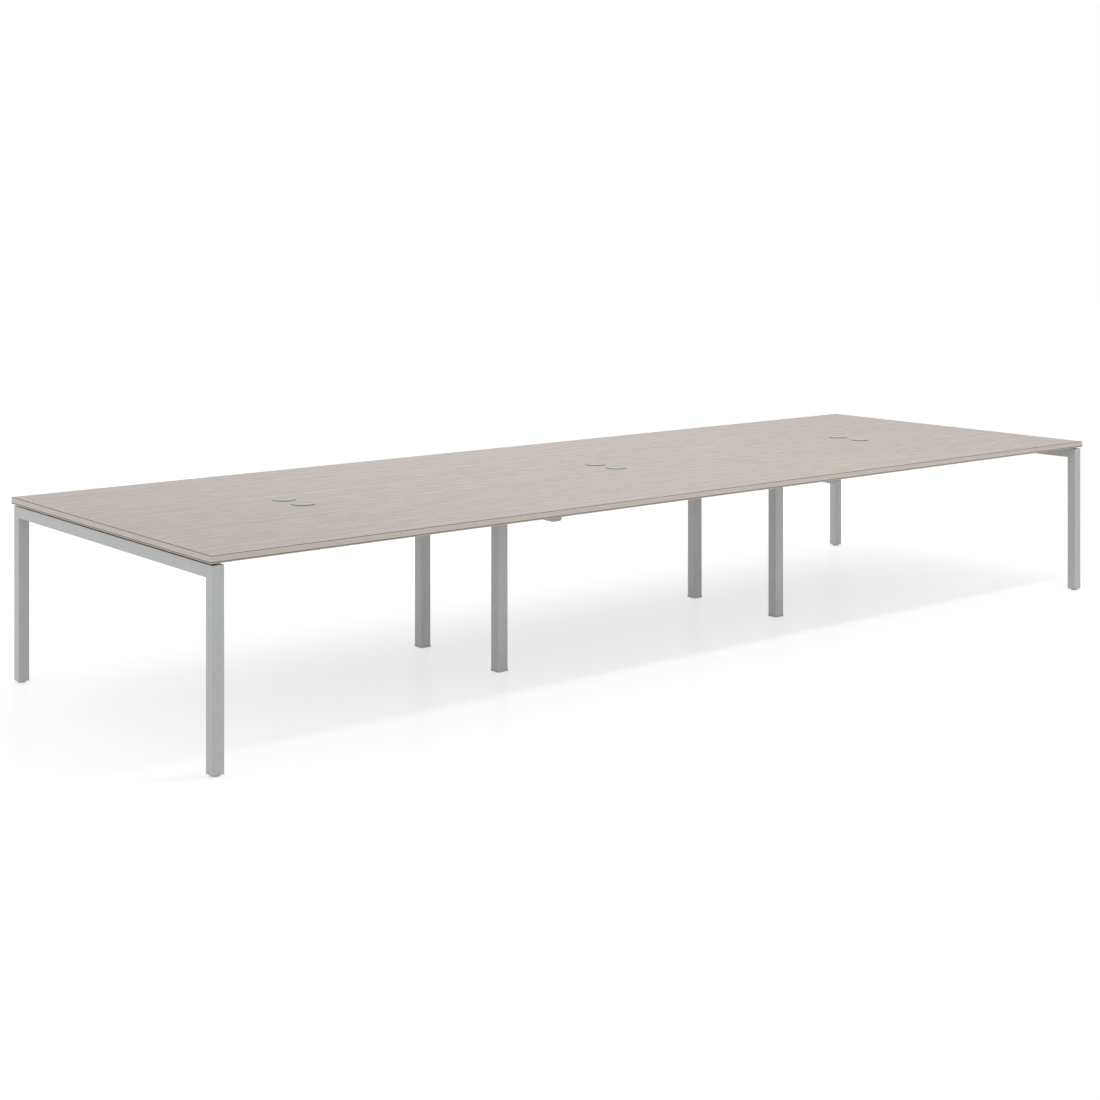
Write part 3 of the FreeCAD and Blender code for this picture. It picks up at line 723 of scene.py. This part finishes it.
def fastener_shape() -> NodeShape:
    """Build the tree of a socket-head screw, set on points that know which way they face.

    Returns:
        The tree.
    """
    shape = NodeShape("socket_screw", {
        "Float": (
            "Head diameter", "Head height", "Shank diameter", "Shank length", "Key width", "Key depth"),
        "Int": ("Seed",),
        "Material": ("Finish",),
    })
    add, given = shape.add, shape.given
    round_head = add("GeometryNodeMeshCylinder", {
        "Vertices": HEAD_SIDES, "Radius": shape.half("Head diameter"), "Depth": given["Head height"]})
    head = shape.moved(round_head, shape.half("Head height"))
    corner = add("Math", {0: given["Key width"], 1: 1 / math.sqrt(3)}, operation="MULTIPLY")
    deep = add("Math", {0: given["Key depth"], 1: 2.0}, operation="MULTIPLY")
    key = add("GeometryNodeMeshCylinder", {"Vertices": HEXAGON_SIDES, "Radius": corner, "Depth": deep})
    socket = shape.moved(key, given["Head height"])
    cut = add("GeometryNodeMeshBoolean", {"Mesh 1": head, "Mesh 2": socket}, operation="DIFFERENCE")
    rod = add("GeometryNodeMeshCylinder", {
        "Vertices": SHANK_SIDES, "Radius": shape.half("Shank diameter"), "Depth": given["Shank length"]})
    down = add("Math", {0: given["Shank length"], 1: -0.5}, operation="MULTIPLY")
    screw = add("GeometryNodeJoinGeometry", {"Geometry": [cut, shape.moved(rod, down)]})
    facing = add("GeometryNodeInputNamedAttribute", {"Name": "facing"}, data_type="FLOAT_VECTOR")
    stand = add("FunctionNodeAlignRotationToVector", {"Vector": facing}, axis="Z")
    angle = add("FunctionNodeRandomValue", {
        "Min": 0.0, "Max": math.tau, "Seed": given["Seed"]}, data_type="FLOAT")
    spin = add("FunctionNodeAxisAngleToRotation", {"Axis": (0.0, 0.0, 1.0), "Angle": angle})
    turned = add("FunctionNodeRotateRotation", {
        "Rotation": stand, "Rotate By": spin}, rotation_space="LOCAL")
    copies = add("GeometryNodeInstanceOnPoints", {
        "Points": given["Geometry"], "Instance": screw, "Rotation": turned})
    shape.end(shape.finished(copies))
    return shape


def bead_shape() -> NodeShape:
    """Build the tree of a weld bead: a rippled rod along each line, in four steps to a ripple.

    Returns:
        The tree.
    """
    shape = NodeShape("weld_bead", {
        "Float": ("Bead width", "Ripple pitch", "Ripple depth"),
        "Material": ("Finish",),
    })
    add, given = shape.add, shape.given
    line = add("GeometryNodeMeshToCurve", {"Mesh": given["Geometry"]})
    step = add("Math", {0: given["Ripple pitch"], 1: 0.25}, operation="MULTIPLY")
    fine = add("GeometryNodeResampleCurve", {"Curve": line, "Length": step}, mode="LENGTH")
    along = add("GeometryNodeSplineParameter").outputs["Length"]
    count = add("Math", {0: along, 1: given["Ripple pitch"]}, operation="DIVIDE")
    angle = add("Math", {0: count, 1: math.tau}, operation="MULTIPLY")
    wave = add("Math", {0: angle}, operation="SINE")
    swell = add("Math", {0: wave, 1: given["Ripple depth"], 2: 1.0}, operation="MULTIPLY_ADD")
    rippled = add("GeometryNodeSetCurveRadius", {"Curve": fine, "Radius": swell})
    outline = add("GeometryNodeCurvePrimitiveCircle", {
        "Resolution": BEAD_SIDES, "Radius": shape.half("Bead width")})
    radius = add("GeometryNodeInputRadius")
    bead = add("GeometryNodeCurveToMesh", {
        "Curve": rippled, "Profile Curve": outline, "Scale": radius, "Fill Caps": True})
    shape.end(shape.finished(bead))
    return shape


def stud_shape() -> NodeShape:
    """Build the tree of a threaded stud, joined to the glide that it is given.

    Returns:
        The tree.
    """
    shape = NodeShape("threaded_stud", {
        "Float": ("Stud diameter", "Stud length", "Pitch", "Thread depth"),
        "Vector": ("Foot",),
        "Material": ("Finish",),
    })
    add, given = shape.add, shape.given
    tooth_middle, tooth_half = 0.45, 0.55
    root = add("Math", {0: shape.half("Stud diameter"), 1: given["Thread depth"]}, operation="SUBTRACT")
    core = add("GeometryNodeMeshCylinder", {
        "Vertices": STUD_SIDES, "Radius": root, "Depth": given["Stud length"]})
    turns = add("Math", {0: given["Stud length"], 1: given["Pitch"]}, operation="DIVIDE")
    inner = add("Math", {0: turns, 1: 1.0}, operation="SUBTRACT")
    height = add("Math", {0: given["Stud length"], 1: given["Pitch"]}, operation="SUBTRACT")
    crest = add("Math", {0: given["Thread depth"], 1: tooth_middle, 2: root}, operation="MULTIPLY_ADD")
    helix = add("GeometryNodeCurveSpiral", {
        "Resolution": STUD_SIDES, "Rotations": inner, "Start Radius": crest, "End Radius": crest,
        "Height": height})
    half_depth = add("Math", {0: given["Thread depth"], 1: tooth_half}, operation="MULTIPLY")
    tooth = add("GeometryNodeCurvePrimitiveCircle", {"Resolution": TOOTH_SIDES, "Radius": half_depth})
    thread = add("GeometryNodeCurveToMesh", {"Curve": helix, "Profile Curve": tooth, "Fill Caps": True})
    rod = shape.moved(core, shape.half("Stud length"))
    coil = shape.moved(thread, shape.half("Pitch"))
    stud = add("GeometryNodeJoinGeometry", {"Geometry": [rod, coil]})
    placed = add("GeometryNodeTransform", {"Geometry": stud, "Translation": given["Foot"]})
    shape.end(add("GeometryNodeJoinGeometry", {"Geometry": [given["Geometry"], shape.finished(placed)]}))
    return shape


def lathe(name: str, outline: Sequence[Span], foot: Vector, segments: int) -> Mesh:
    """Turn an outline of radius and height about an upright axis.

    Args:
        name: The mesh's name.
        outline: The outline's points, from the axis round to the axis again.
        foot: The point of the axis at height zero.
        segments: How many steps the turn has.

    Returns:
        The closed shape, with its faces outwards.
    """
    points = [foot + Vector((0.0, 0.0, height)) for _, height in (outline[0], outline[-1])]
    rings = []
    for radius, height in outline[1:-1]:
        rings.append(range(len(points), len(points) + segments))
        for step in range(segments):
            angle = math.tau * step / segments
            points.append(foot + Vector((radius * math.cos(angle), radius * math.sin(angle), height)))
    faces = []
    for here in range(segments):
        there = (here + 1) % segments
        faces.append((0, rings[0][there], rings[0][here]))
        faces.extend((low[here], low[there], high[there], high[here]) for low, high in zip(rings, rings[1:]))
        faces.append((1, rings[-1][here], rings[-1][there]))
    mesh = bpy.data.meshes.new(name)
    mesh.from_pydata(points, [], faces)
    return mesh


def rounding(centre: Span, radius: float, start: float, end: float, steps: int = 6) -> Iterator[Span]:
    """Step round a rounded corner of an outline.

    Args:
        centre: The rounding's centre.
        radius: Its radius.
        start: The angle where it starts, in degrees.
        end: The angle where it ends, in degrees.
        steps: How many steps it has.

    Yields:
        Points of the outline.
    """
    for step in range(steps + 1):
        angle = math.radians(start + (end - start) * step / steps)
        yield (centre[0] + radius * math.cos(angle), centre[1] + radius * math.sin(angle))


@dataclass(frozen=True)
class Weld:
    """A rippled weld bead, painted over with the frame."""

    width: float
    stand: float
    pitch: float
    depth: float = 0.12
    crease: float = 70.0
    paint: Finish = POWDER_COAT

    def lay(self, name: str, seams: Sequence[Loop], closed: bool, bead: NodeShape) -> None:
        """Lay beads along the seams of the desk.

        Args:
            name: The name of the piece.
            seams: The lines that the beads follow.
            closed: Whether each line returns to its start.
            bead: The tree of a weld bead.
        """
        welds = loops_piece(name, seams, closed)
        bead.run(welds, {
            "Bead width": self.width,
            "Ripple pitch": self.pitch,
            "Ripple depth": self.depth,
            "Finish": material_of(self.paint),
        }, self.crease)
        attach(welds, DESK)
        LOG.info("built %s", welds.name)


@dataclass(frozen=True)
class SocketScrew:
    """A zinc-plated screw with a round head and a hexagon socket."""

    head_diameter: float
    head_height: float
    shank_diameter: float
    key_width: float
    key_depth: float
    seed: int
    metal: Finish = ZINC

    def drive(self, node: str, facings: Sequence[tuple[Box, Vector]], fastener: NodeShape) -> None:
        """Set screws in the place of a CAD node.

        Args:
            node: The CAD node.
            facings: The box of each screw in it, and which way its head looks.
            fastener: The tree of a socket screw.
        """
        length = max(abs((high - low).dot(facing)) for (low, high), facing in facings)
        places = [middle(box) + facing * (length / 2 - self.head_height) for box, facing in facings]
        screws = points_piece(f"{node.removesuffix('s')}_set", places, [facing for _, facing in facings])
        fastener.run(screws, {
            "Head diameter": self.head_diameter,
            "Head height": self.head_height,
            "Shank diameter": self.shank_diameter,
            "Shank length": length - self.head_height,
            "Key width": self.key_width,
            "Key depth": self.key_depth,
            "Seed": self.seed,
            "Finish": material_of(self.metal),
        })
        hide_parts(node)
        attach(screws, DESK)
        LOG.info("built %s", screws.name)


@dataclass
class Worktops:
    """The six laminated boards and the banding round their edges."""

    band_margin: float = 2.5 * MM

    def build(self) -> None:
        """Dress the boards and their banding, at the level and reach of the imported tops."""
        reach = CAD_BOX[1]
        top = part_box("edge_bands_bay2_front")[1].z
        outer_x, outer_y = reach.x - self.band_margin, reach.y - self.band_margin
        band = EdgeBand(surface_level=top, outer_x=outer_x, outer_y=outer_y)
        dress(Melamine(), *seats("worktop"))
        dress(band, *seats("edge_bands"))


@dataclass
class Grommets:
    """The six cable grommets: a liner in each worktop and its loose lid."""

    dust_height: float = 1.0 * MM
    finish: Moulded = GROMMET_ABS

    def build(self) -> None:
        """Dress the lids, and the liners with painted shade where they stand on the worktop."""
        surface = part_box("worktop_bay2_front")[1].z
        # The liners get the finish with painted contact shade at their foot, on the worktop.
        shaded_liner = replace(self.finish, name="dusty_silver_grey_abs", grime_level=surface + self.dust_height)
        dress(shaded_liner, *seats("grommet_liner"))
        dress(self.finish, *seats("grommet_lid"))


@dataclass
class Frames:
    """The end portals and the intermediate trestles, with the welds of the trestles."""

    weld: Weld = Weld(4.0 * MM, 0.6 * MM, 2.2 * MM)
    corner: float = 5.0 * MM
    corner_steps: int = 5
    seam_step: float = 3.0 * MM
    arm_flat: float = 15.0 * MM
    arm_round: float = 15.0 * MM
    paint: Finish = POWDER_COAT
    plastic: Finish = CAP_PLASTIC

    def build(self, bead: NodeShape) -> None:
        """Dress the tubes and caps, and weld each trestle leg to its arm.

        Args:
            bead: The tree of a weld bead.
        """
        seams = []
        for end in End:
            arm = f"{end.label}_trestle_arm"
            dress(self.paint, f"{end.label}_portal_crossbar", arm)
            for side in Side:
                leg = f"{end.label}_trestle_leg_{side.label}"
                dress(self.paint, f"{end.label}_portal_leg_{side.label}", leg)
                seams.append(self.seam(leg, arm))
        dress(self.plastic, "portal_leg_plugs", "trestle_leg_caps", "trestle_arm_caps")
        self.weld.lay("trestle_welds", seams, True, bead)

    def rise(self, x: float) -> float:
        """Say how far the underside of an arm has curved up, at a distance across from its middle."""
        over = max(0.0, abs(x) - self.arm_flat)
        return self.arm_round - math.sqrt(self.arm_round ** 2 - over ** 2)

    def seam(self, leg: str, arm: str) -> Loop:
        """Trace the joint of a trestle leg and its arm, round the leg's top.

        Args:
            leg: The leg's node.
            arm: The arm's node.

        Returns:
            The points of the joint.
        """
        low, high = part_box(leg)
        centre = middle((low, high))
        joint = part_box(arm)[0].z - self.weld.stand
        inner_x = (high.x - low.x) / 2 + self.weld.stand - self.corner
        inner_y = (high.y - low.y) / 2 + self.weld.stand - self.corner
        outline = []
        for x_sign, y_sign, turn in ((1, 1, 0), (-1, 1, 90), (-1, -1, 180), (1, -1, 270)):
            corner = (x_sign * inner_x, y_sign * inner_y)
            outline.extend(map(Vector, rounding(corner, self.corner, turn, turn + 90, self.corner_steps)))
        loop = []
        for here, there in zip(outline, outline[1:] + outline[:1]):
            count = math.ceil((there - here).length / self.seam_step)
            for step in range(count):
                spot = here.lerp(there, step / count)
                loop.append(Vector((centre.x + spot.x, centre.y + spot.y, joint + self.rise(spot.x))))
        return loop


@dataclass
class Beams:
    """The lengthwise beams under the tops, with their welded end plates and bolts."""

    weld: Weld = Weld(3.6 * MM, 0.5 * MM, 2.0 * MM)
    weld_margin: float = 5.0 * MM
    bolt: SocketScrew = SocketScrew(13.0 * MM, 8.0 * MM, 8.0 * MM, 6.0 * MM, 4.0 * MM, seed=11)
    paint: Finish = POWDER_COAT
    metal: Finish = ZINC

    def build(self, bead: NodeShape, fastener: NodeShape) -> None:
        """Dress the beams and plates, weld them together and set the bolts.

        Args:
            bead: The tree of a weld bead.
            fastener: The tree of a socket screw.
        """
        dress(self.paint, *seats("beam"), "beam_end_plates")
        dress(self.metal, "rivet_nuts")
        self.weld.lay("beam_welds", list(self.seams()), False, bead)
        self.bolts(fastener)

    def seams(self) -> Iterator[Loop]:
        """Trace the upright joints of each beam with its end plates.

        Yields:
            The points of one joint.
        """
        for beam in seats("beam"):
            low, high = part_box(beam)
            for x, inwards in ((low.x, 1), (high.x, -1)):
                for y, outwards in ((low.y, -1), (high.y, 1)):
                    at = (x + inwards * self.weld.stand, y + outwards * self.weld.stand)
                    yield [Vector((*at, low.z + self.weld_margin)), Vector((*at, high.z - self.weld_margin))]

    def bolts(self, fastener: NodeShape) -> None:
        """Set a bolt at each place where the CAD has one.

        Args:
            fastener: The tree of a socket screw.
        """
        members = [middle(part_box(f"{end.label}_{kind}")).x
                   for end in End for kind in ("portal_crossbar", "trestle_arm")]
        facings = []
        for box in solids_of("beam_bolts"):
            x = middle(box).x
            member = min(members, key=lambda at: abs(at - x))
            facings.append((box, Vector((math.copysign(1.0, x - member), 0.0, 0.0))))
        self.bolt.drive("beam_bolts", facings, fastener)


@dataclass
class TopFixings:
    """The screws, spacers and inserts between the worktops and the frame."""

    screw: SocketScrew = SocketScrew(12.0 * MM, 3.5 * MM, 6.0 * MM, 4.0 * MM, 2.2 * MM, seed=23)
    metal: Finish = ZINC
    rubber: Finish = SPACER_RUBBER

    def build(self, fastener: NodeShape) -> None:
        """Dress the spacers and inserts, and set the screws.

        Args:
            fastener: The tree of a socket screw.
        """
        dress(self.rubber, "worktop_spacers")
        dress(self.metal, "threaded_inserts")
        facings = [(box, Vector((0.0, 0.0, -1.0))) for box in solids_of("worktop_screws")]
        self.screw.drive("worktop_screws", facings, fastener)


@dataclass
class LevellingFeet:
    """The eight levelling feet: a nylon glide moulded on a threaded steel stud."""

    pad_radius: float = 7.0 * MM
    pad_slope: float = 2.8 * MM
    rim_height: float = 4.0 * MM
    rim_round: float = 1.0 * MM
    stud_diameter: float = 10.0 * MM
    pitch: float = 1.5 * MM
    thread_depth: float = 0.92 * MM
    segments: int = 64
    glide: Finish = GLIDE_NYLON
    metal: Finish = ZINC

    def build(self, stud: NodeShape) -> None:
        """Build each foot in its CAD place, on its own body.

        Args:
            stud: The tree of a threaded stud.
        """
        for end in End:
            for kind in ("portal", "trestle"):
                for side in Side:
                    self.foot(f"{end.label}_{kind}_foot_{side.label}", stud)

    def outline(self, radius: float) -> list[Span]:
        """Draw the glide's outline: a disc with a rounded rim, sloped up from a flat pad underneath.

        Args:
            radius: The glide's radius.

        Returns:
            Points of radius and height, from the axis round to the axis.
        """
        tilt = math.degrees(math.atan2(self.pad_slope, radius - self.pad_radius))
        edge = radius - self.rim_round
        lower = self.pad_slope + self.rim_round * math.tan(math.radians((90 - tilt) / 2))
        top = self.pad_slope + self.rim_height
        return [
            (0.0, 0.0),
            (self.pad_radius, 0.0),
            *rounding((edge, lower), self.rim_round, tilt - 90, 0),
            *rounding((edge, top - self.rim_round), self.rim_round, 0, 90),
            (0.0, top),
        ]

    def foot(self, node: str, stud: NodeShape) -> None:
        """Build one foot and put it in the place of its CAD node.

        Args:
            node: The CAD node, which is also the body that the foot rides on.
            stud: The tree of a threaded stud.
        """
        low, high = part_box(node)
        centre = middle((low, high))
        glide_top = self.pad_slope + self.rim_height
        name = node.replace("_foot_", "_glide_and_stud_")
        outline = self.outline((high.x - low.x) / 2)
        mesh = lathe(name, outline, Vector((centre.x, centre.y, low.z)), self.segments)
        mesh.materials.append(material_of(self.glide))
        piece = new_piece(name, mesh)
        stud.run(piece, {
            "Stud diameter": self.stud_diameter,
            "Stud length": high.z - low.z - glide_top,
            "Pitch": self.pitch,
            "Thread depth": self.thread_depth,
            "Foot": (centre.x, centre.y, low.z + glide_top),
            "Finish": material_of(self.metal),
        })
        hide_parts(node)
        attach(piece, node)
        LOG.info("built %s", piece.name)


@dataclass(frozen=True)
class SoftBox:
    """A soft light that shines straight down, unless it is turned."""

    name: str
    place: Place
    size: Span
    power: float
    turn: Place = (0.0, 0.0, 0.0)

    def hang(self) -> None:
        """Hang the light in its place."""
        lamp = bpy.data.lights.new(self.name, "AREA")
        lamp.shape = "RECTANGLE"
        lamp.size, lamp.size_y = self.size
        lamp.energy = self.power
        light = bpy.data.objects.new(self.name, lamp)
        light.location = self.place
        light.rotation_euler = [math.radians(angle) for angle in self.turn]
        bpy.context.scene.collection.objects.link(light)


def shown_to_eye(add: Adder) -> Node:
    """Tell the rays that end in the picture from those that only carry light.

    Args:
        add: Adds a node to the tree.

    Returns:
        One for a ray from the camera, a mirror or a clear body, and zero for another.
    """
    ray = add("LightPath").outputs
    seen = add("Math", {0: ray["Is Camera Ray"], 1: ray["Is Glossy Ray"]}, operation="MAXIMUM")
    return add("Math", {0: seen, 1: ray["Is Transmission Ray"]}, operation="MAXIMUM")


@dataclass
class Studio:
    """The plain pale floor, the soft light and the camera."""

    floor_half: float = 60.0
    floor_glow: float = 0.57
    floor_shade: str = "#d5d7d9"
    floor_bounce: str = "#efefef"
    floor_gloss: str = "#393939"
    floor_roughness: float = 0.22
    sky_level: float = 0.678
    sky_slope: Place = (-0.092, -0.055, -0.121)
    lights: tuple[SoftBox, ...] = (
        SoftBox("key_soft_box", (0.76, -2.05, 4.38), (2.46, 0.35), 36.0),
        SoftBox("back_soft_box", (0.27, 1.91, 3.06), (5.03, 1.84), 21.0),
        SoftBox("side_soft_box", (-5.0, 2.2, 1.3), (1.5, 1.5), 4.5, turn=(0.0, -90.0, -28.0)),
    )
    camera_place: Place = (-5.3082, -6.0852, 1.8355)
    camera_turn: float = -38.904
    camera_reach: float = 240.0
    photo_side: float = 1100.0
    photo_focal: float = 1827.49
    photo_centre: Span = (535.61, 215.10)
    sensor: float = 36.0

    def build(self) -> None:
        """Set up the stage."""
        self.floor()
        self.world()
        for light in self.lights:
            light.hang()
        self.camera()
        bpy.context.scene.view_settings.view_transform = "Standard"
        LOG.info("set up the studio")

    def floor(self) -> None:
        """Lay the floor: white to the eye, with the desk's soft shadow and a faint reflection."""
        mesh = bpy.data.meshes.new("studio_floor")
        half = self.floor_half
        corners = [(-half, -half, 0), (half, -half, 0), (half, half, 0), (-half, half, 0)]
        mesh.from_pydata(corners, [], [(0, 1, 2, 3)])
        material = bpy.data.materials.new("white_studio_floor")
        material.use_nodes = True
        material.node_tree.nodes.clear()
        add = partial(add_node, material.node_tree)
        bounce = add("BsdfDiffuse", {"Color": linear(self.floor_bounce)})
        shade = add("BsdfDiffuse", {"Color": linear(self.floor_shade)})
        glow = add("Emission", {"Strength": self.floor_glow})
        shine = add("BsdfGlossy", {"Color": linear(self.floor_gloss), "Roughness": self.floor_roughness})
        lit = add("AddShader", {0: shade, 1: glow})
        polished = add("AddShader", {0: lit, 1: shine})
        whole = add("MixShader", {0: shown_to_eye(add), 1: bounce, 2: polished})
        below = add("NewGeometry").outputs["Backfacing"]
        clear = add("BsdfTransparent")
        sheet = add("MixShader", {0: below, 1: whole, 2: clear})
        add("OutputMaterial", {"Surface": sheet})
        mesh.materials.append(material)
        new_piece("studio_floor", mesh)

    def world(self) -> None:
        """Light the room, more from the front left and less from above, and show it white to the eye."""
        world = bpy.data.worlds.new("white_studio")
        world.use_nodes = True
        world.node_tree.nodes.clear()
        add = partial(add_node, world.node_tree)
        way = add("TexCoord").outputs["Generated"]
        slope = add("VectorMath", {0: way, 1: self.sky_slope}, operation="DOT_PRODUCT")
        sky = add("Math", {0: slope, 1: self.sky_level}, operation="ADD")
        strength = add("MapRange", {"Value": shown_to_eye(add), "To Min": sky, "To Max": 1.0})
        room = add("Background", {"Color": linear("#ffffff"), "Strength": strength})
        add("OutputWorld", {"Surface": room})
        bpy.context.scene.world = world

    def camera(self) -> None:
        """Stand the camera where the photograph was taken: level, with a shifted lens."""
        lens = bpy.data.cameras.new("camera")
        lens.sensor_width = self.sensor
        lens.lens = self.sensor * self.photo_focal / self.photo_side
        lens.shift_x = 0.5 - self.photo_centre[0] / self.photo_side
        lens.shift_y = self.photo_centre[1] / self.photo_side - 0.5
        lens.clip_end = self.camera_reach
        camera = bpy.data.objects.new("camera", lens)
        camera.location = self.camera_place
        camera.rotation_euler = (math.radians(90), 0.0, math.radians(self.camera_turn))
        bpy.context.scene.collection.objects.link(camera)
        bpy.context.scene.camera = camera


def main() -> None:
    """Build the desk's looks, piece by piece."""
    logging.basicConfig(level=logging.INFO, format="%(message)s")
    bead, fastener, stud = bead_shape(), fastener_shape(), stud_shape()
    Worktops().build()
    Grommets().build()
    Frames().build(bead)
    Beams().build(bead, fastener)
    TopFixings().build(fastener)
    LevellingFeet().build(stud)
    Studio().build()


if __name__ == "__main__":
    main()
